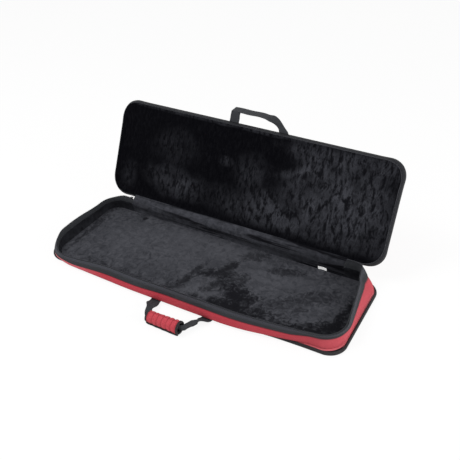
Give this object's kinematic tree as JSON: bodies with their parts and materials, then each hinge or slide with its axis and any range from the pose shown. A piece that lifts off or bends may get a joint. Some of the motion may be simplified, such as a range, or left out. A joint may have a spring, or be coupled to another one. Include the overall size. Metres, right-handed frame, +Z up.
{
  "type": "padded keyboard gig bag",
  "caption": "Shallow padded zip-up bag for a keyboard, lying open: foam-walled tray, hinged thin lid, plush lining, webbing handles with a padded wrap.",
  "frame": {"origin": "centre of the tray's underside, where the bag lies on the ground", "axes": "+X along the bag, +Y towards the fabric hinge, +Z up"},
  "size_m": [1.16, 0.7603, 0.4472],
  "materials": {
    "black_base_cloth": "coarse black woven nylon with a coated back",
    "black_piping": "black woven binding sewn round a cord",
    "foam": "closed-cell padding foam, hidden between the cloth and the lining",
    "red_cloth": "red coarse woven nylon",
    "black_band_cloth": "black plain-woven nylon tape flap",
    "plush": "black short-pile plush, crushed in places",
    "zip_tape": "herringbone zip tape",
    "zip_coil": "nylon zip coil",
    "webbing": "black ribbed polypropylene webbing",
    "label_cloth": "white satin label tape, blank",
    "hook_and_loop": "black hook-and-loop tape",
    "blackened_metal": "black enamelled zinc casting",
    "pull_tab": "black moulded pull tab"
  },
  "bodies": {
    "tray": {"bottom_panel": "black_base_cloth", "base_piping": "black_piping", "floor_foam_board": "foam", "floor_lining": "plush", "tray_gusset": "red_cloth", "tray_zip_band": "black_band_cloth", "tray_wall_foam": "foam", "tray_wall_lining": "plush", "tray_zip_tape": "zip_tape", "tray_zip_coil": "zip_coil", "tray_hinge_panel": "black_band_cloth", "tray_hinge_lining": "plush", "care_label": "label_cloth", "tray_zip_stops": "black_piping"},
    "lid": {"lid_panel": "red_cloth", "lid_piping": "black_piping", "lid_gusset": "black_band_cloth", "lid_foam_board": "foam", "lid_edge_foam": "foam", "lid_lining": "plush", "lid_zip_tape": "zip_tape", "lid_zip_coil": "zip_coil", "lid_hinge_panel": "black_band_cloth", "lid_hinge_lining": "plush", "lid_handle_anchors": "webbing"},
    "lid_handle": {"lid_handle_webbing": "webbing"},
    "tray_handle": {"tray_handle_webbing": "webbing", "wrap_body": "red_cloth", "wrap_end_bindings": "black_piping", "wrap_loop_strip": "hook_and_loop"},
    "wrap_flap": {"wrap_flap": "red_cloth", "wrap_flap_binding": "black_piping", "wrap_hook_strip": "hook_and_loop"},
    "slider_left": {"slider_left": "blackened_metal"},
    "slider_right": {"slider_right": "blackened_metal"},
    "pull_left": {"pull_left": "pull_tab"},
    "pull_right": {"pull_right": "pull_tab"}
  },
  "joints": [
    {"name": "lid_hinge", "type": "hinge", "parent": "tray", "child": "lid", "pos_m": [0, 0.1906, 0.0708], "axis": [-1, 0, 0], "range_deg": [-115, 60]},
    {"name": "lid_handle_fold", "type": "hinge", "parent": "lid", "child": "lid_handle", "pos_m": [0, 0.36882, 0.4104], "axis": [1, 0, 0], "range_deg": [-85, 85]},
    {"name": "tray_handle_lift", "type": "hinge", "parent": "tray", "child": "tray_handle", "pos_m": [0, -0.1986, 0.0012], "axis": [-1, 0, 0], "range_deg": [0, 50]},
    {"name": "wrap_flap_peel", "type": "hinge", "parent": "tray_handle", "child": "wrap_flap", "pos_m": [0, -0.316, 0.046], "axis": [-1, 0, 0], "range_deg": [0, 110]},
    {"name": "slider_left_run", "type": "slide", "parent": "tray", "child": "slider_left", "axis": [-1, 0, 0], "range_m": [0, 0.02]},
    {"name": "slider_right_run", "type": "slide", "parent": "tray", "child": "slider_right", "axis": [1, 0, 0], "range_m": [0, 0.02]},
    {"name": "pull_left_swing", "type": "hinge", "parent": "slider_left", "child": "pull_left", "pos_m": [-0.462, 0.19201, 0.0708], "axis": [-1, 0, 0], "range_deg": [-45, 0]},
    {"name": "pull_right_swing", "type": "hinge", "parent": "slider_right", "child": "pull_right", "pos_m": [0.462, 0.19201, 0.0708], "axis": [-1, 0, 0], "range_deg": [-45, 0]}
  ]
}
